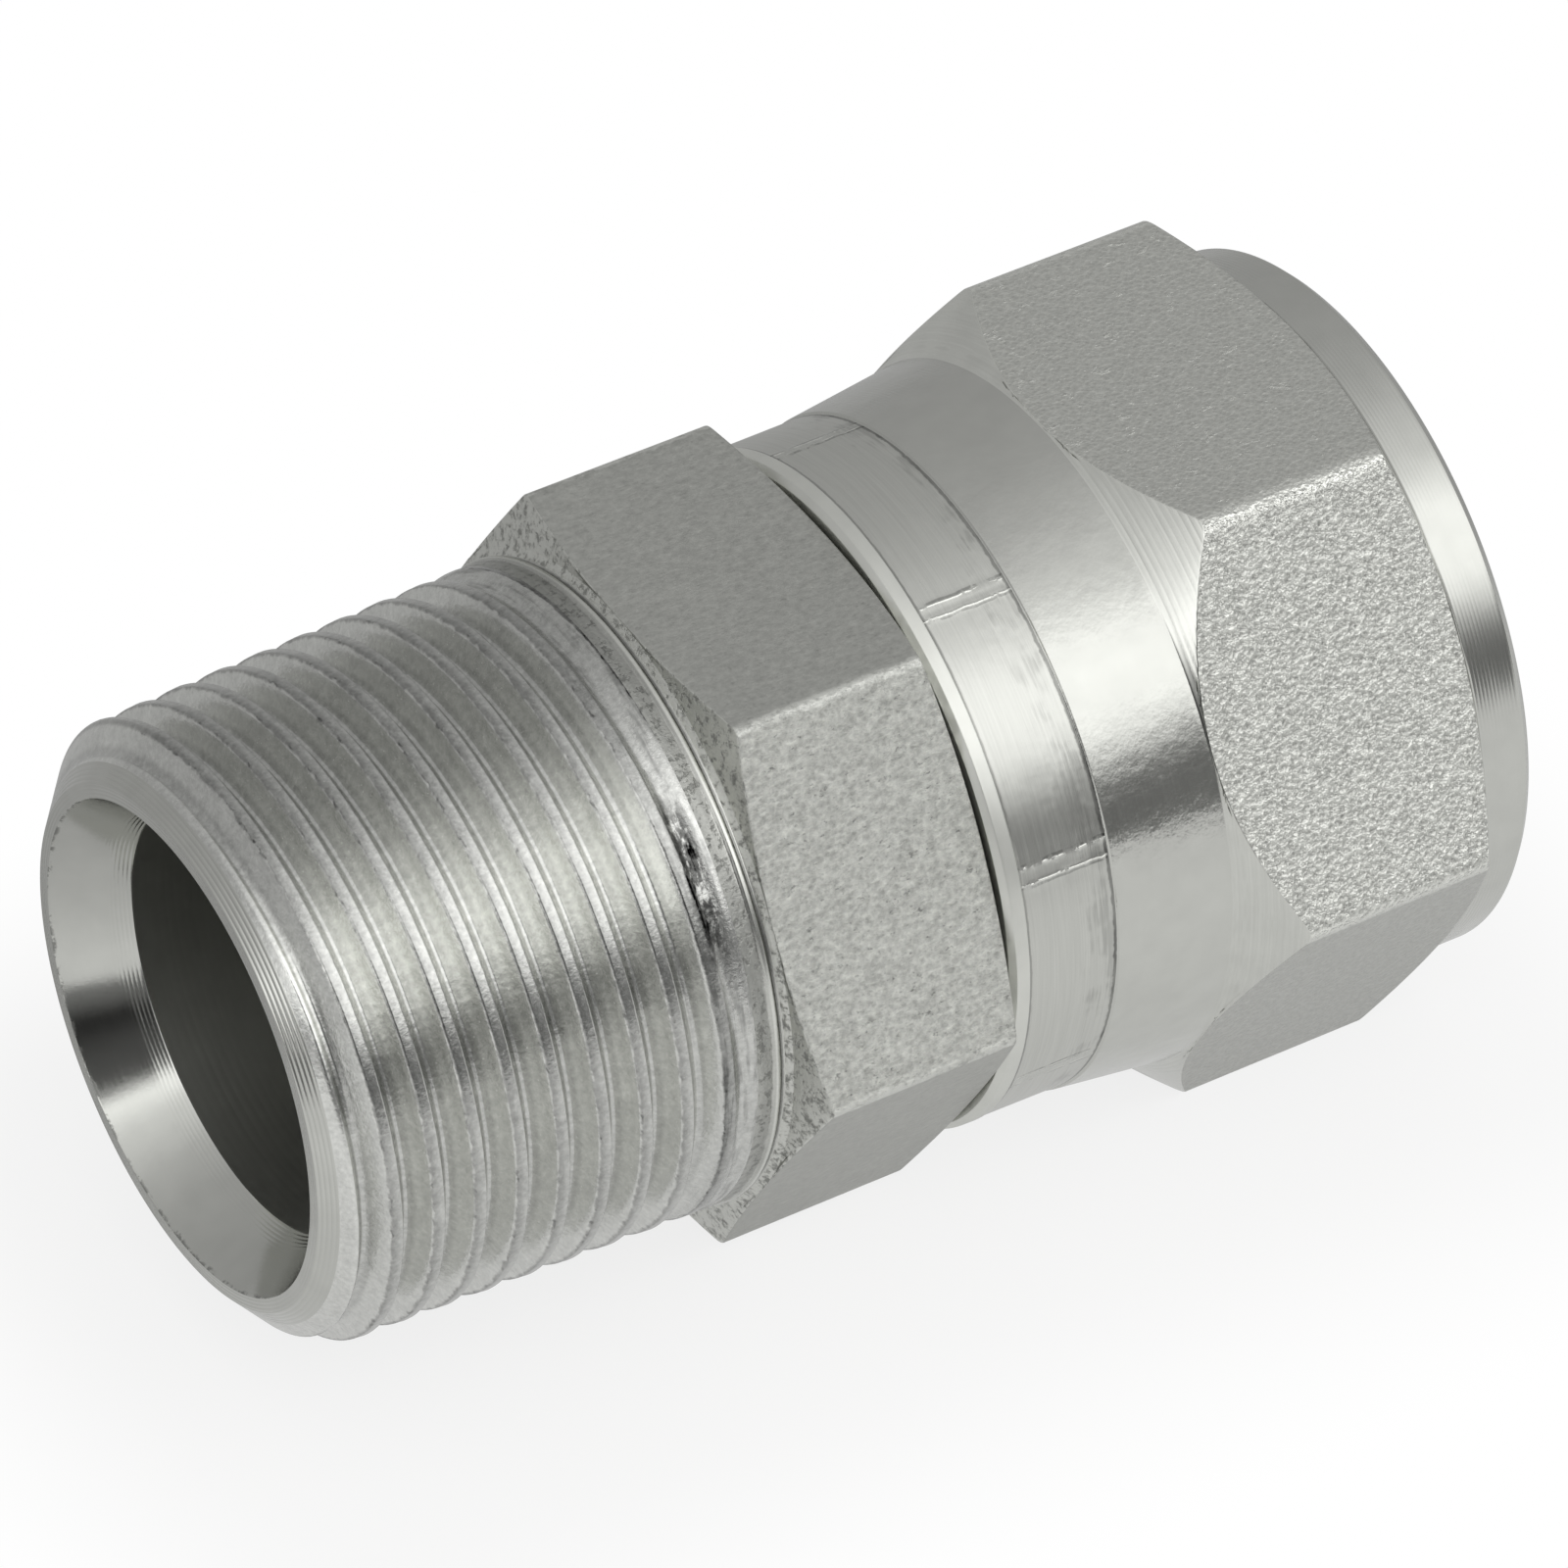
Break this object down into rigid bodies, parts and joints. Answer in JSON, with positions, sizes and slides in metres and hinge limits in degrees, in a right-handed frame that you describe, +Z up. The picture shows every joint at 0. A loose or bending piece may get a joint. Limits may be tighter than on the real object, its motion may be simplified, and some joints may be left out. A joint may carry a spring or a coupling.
{
  "type": "swivel hydraulic adapter",
  "caption": "Straight hydraulic adapter with a male taper pipe thread and cone seat, a hexagon body and a free-turning female swivel nut.",
  "frame": {"origin": "centre of the bounding box's base, on the surface that the nut's flat lies on, halfway along the fitting", "axes": "+X along the fitting from the male end to the nut end, +Z up from the nut's lower flat"},
  "size_m": [0.0676, 0.0434, 0.038],
  "materials": {
    "body_steel": "zinc-plated turned bar steel, satin",
    "nut_steel": "zinc-plated forged steel, blasted flats and turned ends"
  },
  "bodies": {
    "body": {"adapter_body": "body_steel"},
    "nut": {"swivel_nut": "nut_steel"}
  },
  "joints": [
    {"name": "nut_swivel", "type": "hinge", "parent": "body", "child": "nut", "pos_m": [0.014, 0, 0.019], "axis": [1, 0, 0], "continuous": true}
  ]
}
